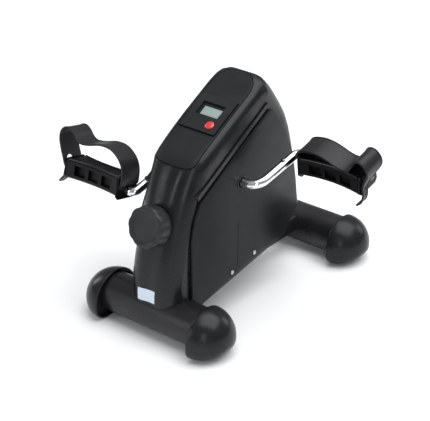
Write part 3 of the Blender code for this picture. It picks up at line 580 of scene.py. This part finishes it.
def strap_ring(point, across, off, half):
    """Section of the strap: flat band with a raised rounded rim on both outer edges."""
    t = STRAP_T / 2
    outline = [(-half, -t + 0.5), (-half + 0.5, -t), (half - 0.5, -t), (half, -t + 0.5),
               (half, t + STRAP_RIM - 0.5), (half - 0.5, t + STRAP_RIM), (half - 1.7, t + STRAP_RIM),
               (half - 2.4, t), (2.4 - half, t), (1.7 - half, t + STRAP_RIM), (0.5 - half, t + STRAP_RIM),
               (-half, t + STRAP_RIM - 0.5)]
    return [point + across * u + off * v for u, v in outline]


def pedal_strap(name, side, route, width_at, lean, holes):
    """Moulded strap: rimmed band along its route, narrowed by width_at, punched at each hole.

    Where the band is narrowed, lean says how far it keeps to one long edge: 0 is the middle.
    """
    across = pedal_axes(side)[0]
    path = smooth_path([pedal_at(side, x, 0, z) for x, z in route], 6)
    rings, offs = [], []
    for i, point in enumerate(path):
        ahead = heading(path, i)
        off = across.cross(ahead).normalized() * -side
        offs.append(off)
        half = STRAP_HALF * width_at(i / (len(path) - 1))
        rings.append(strap_ring(point + across * lean * (STRAP_HALF - half), across, off, half))
    tools = []
    for where, y, long_half, wide_half in holes:
        i = round(where * (len(path) - 1))
        ahead = across.cross(offs[i]).normalized()
        ring = [path[i] + across * (y + wide_half * math.cos(t)) + ahead * long_half * math.sin(t)
                for t in full_turn(24)]
        tools.append(skin([[p + offs[i] * d for p in ring] for d in (-6, 6)]))
    add_piece(name + "_moulding", in_metres(cut_out(skin(rings), tools)), "strap_rubber", name, sharp=40.0)


def ease(t, start, end):
    """Smooth step from 0 at start to 1 at end."""
    t = min(1.0, max(0.0, (t - start) / (end - start)))
    return t * t * (3 - 2 * t)


def left_width(t):
    """Width of the left strap along its route: a narrow tail with a rounded tip."""
    return 1 - 0.62 * ease(t, 0.82, 0.93) - 0.12 * ease(t, 0.97, 1.0)


def right_width(t):
    """Width of the right strap along its route: a longer tail with a rounded tip."""
    return 1 - 0.68 * ease(t, 0.72, 0.88) - 0.12 * ease(t, 0.98, 1.0)


def pedal_straps():
    """Both straps with their own holes."""
    pedal_strap("left_pedal_strap", -1, LEFT_ROUTE, left_width, 0.0, LEFT_HOLES)
    pedal_strap("right_pedal_strap", 1, RIGHT_ROUTE, right_width, -1.0, RIGHT_HOLES)


def tread_ridges(word, side):
    """Two raised lines along the tread's waisted edges, in a lighter, glossier plastic whose lighter colour
    is a painted highlight.
    """
    start, end, top = 101.0, 190.0, -side * PEDAL_OFFSET + PEDAL_HALF_HEIGHT
    for edge, way in (("front", -1), ("rear", 1)):
        rings = []
        for k in range(41):
            t = k / 40
            y = way * (PEDAL_WAIST + PEDAL_FLARE * (2 * t - 1) ** 2 - 2.9)
            outline = [(-1.1, -0.4), (1.1, -0.4), (0.8, 0.9), (0.3, 1.3), (-0.3, 1.3), (-0.8, 0.9)]
            rings.append([pedal_at(side, start + (end - start) * t, y + u, top + v) for u, v in outline])
        extra_piece(word + "tread_ridge_" + edge, in_metres(skin(rings)), "ridge_highlight_plastic",
                    word + "pedal_body", 60.0)


def strap_stud(word, side):
    """Peg on the outer end plate that the strap's holes button on to."""
    base = pedal_at(side, PEDAL_OUT - 0.5, 2.0, 1.5 - side * 2.0)
    profile = [(0, 3.2), (3.6, 3.0), (4.2, 4.4), (5.6, 4.6), (6.6, 3.8), (7.0, 2.2), (7.0, 0.1)]
    bm = in_metres(lathe(profile, base, ACROSS * side, 40))
    extra_piece(word + "strap_stud", bm, "stud_plastic", word + "pedal_outer_plate", 50.0)


# ---------------------------------------------------------------------------------------- tension knob
KNOB = Vector((0.0, -162.5, 162.7))
KNOB_TILT = math.radians(16.0)
KNOB_R, LOBES, SCALLOP = 29.0, 10, 1.5
# Up the knob from its foot: height, share of KNOB_R and share of the finger scallops' depth.
KNOB_LEVELS = [(3.0, 0.40, 0), (3.0, 0.88, 0), (3.6, 0.90, 0), (8.0, 0.975, 0.8), (10.0, 0.985, 1),
               (23.0, 0.99, 1), (25.0, 0.975, 0.95), (26.6, 0.94, 0.75), (27.6, 0.90, 0.5), (28.0, 0.86, 0.3),
               (27.9, 0.82, 0.15), (27.2, 0.775, 0), (25.6, 0.73, 0), (25.0, 0.68, 0), (24.7, 0.55, 0),
               (24.4, 0.3, 0), (24.3, 0.02, 0)]


def tension_knob():
    """Lobed knob: narrow skirt, finger scallops, rounded rim and a dished face."""
    axis = Vector((0, -math.cos(KNOB_TILT), math.sin(KNOB_TILT)))
    up = axis.cross(ACROSS)
    rings = []
    for along, size, depth in KNOB_LEVELS:
        ring = []
        for k in range(240):
            turn = 2 * math.pi * k / 240
            radius = KNOB_R * size - depth * SCALLOP * (0.5 - 0.5 * math.cos(LOBES * turn)) ** 2
            ring.append(KNOB + axis * along + (ACROSS * math.cos(turn) + up * math.sin(turn)) * radius)
        rings.append(ring)
    add_piece("tension_knob_grip", in_metres(skin(rings)), "knob_plastic", "tension_knob", sharp=50.0)


# ----------------------------------------------------------------------------------------------- build
# Material of a CAD node's smooth copy, and the width in millimetres that its hard edges are eased.
FINISHES = {
    "housing_shell": ("column_plastic", 0.0), "console_insert": ("insert_plastic", 0.5),
    "computer_bezel": ("bezel_plastic", 0.6), "tension_screw": ("steel", 0.2), "axle_bracket": ("steel", 0.3),
    "lcd_display": ("lcd_glass", 0.15), "reset_button": ("button_red", 0.25),
    "info_label": ("label_white", 0.0),
}
PAIR_FINISHES = {
    "side_cover": ("cover_plastic", 0.3), "cover_bead": ("column_plastic", 0.6),
    "pedal_body": ("pedal_plastic", 0.7), "pedal_inner_plate": ("pedal_plastic", 0.6),
    "pedal_outer_plate": ("pedal_plastic", 0.6),
    "hole_ring": ("strap_rubber", 0.2), "crank_pin": ("pin_metal", 0.3), "pedal_spindle": ("steel", 0.4),
    "cover_screw_1": ("steel", 0.2), "cover_screw_2": ("steel", 0.2),
}


def cover_seam(word, side):
    """Fine moulded line up the side cover between the two screws."""
    x, y, width = 44.8, -48.0, 0.35
    outline = [(y - width, 66.0), (y + width, 66.0), (y + width, 133.0), (y, 134.0), (y - width, 133.0)]
    rings = [[Vector((side * (x + d), u, v)) for u, v in outline] for d in (-0.3, 0.12)]
    extra_piece(word + "cover_seam", in_metres(skin(rings)), "seam_plastic", word + "side_cover")


def build():
    """Show every CAD node as a detailed piece, or in the material of its slot."""
    for row, y in (("front", -TUBE_Y), ("rear", TUBE_Y)):
        floor_tube(row + "_floor_tube", y)
        end_cap(row + "_left_cap", -1, y)
        end_cap(row + "_right_cap", 1, y)
    for side, word in ((-1, "left_"), (1, "right_")):
        crank_arm(word + "crank_arm", side)
        for part, (mat, bevel) in PAIR_FINISHES.items():
            refined(word + part, mat, bevel)
        tread_ridges(word, side)
        cover_seam(word, side)
        strap_stud(word, side)
    for node, (mat, bevel) in FINISHES.items():
        refined(node, mat, bevel)
    pedal_straps()
    tension_knob()
    for node, obj in NODES.items():
        if not obj.hide_render:
            obj.data.materials.clear()
            obj.data.materials.append(MATERIALS[SLOTS[node]])


build()
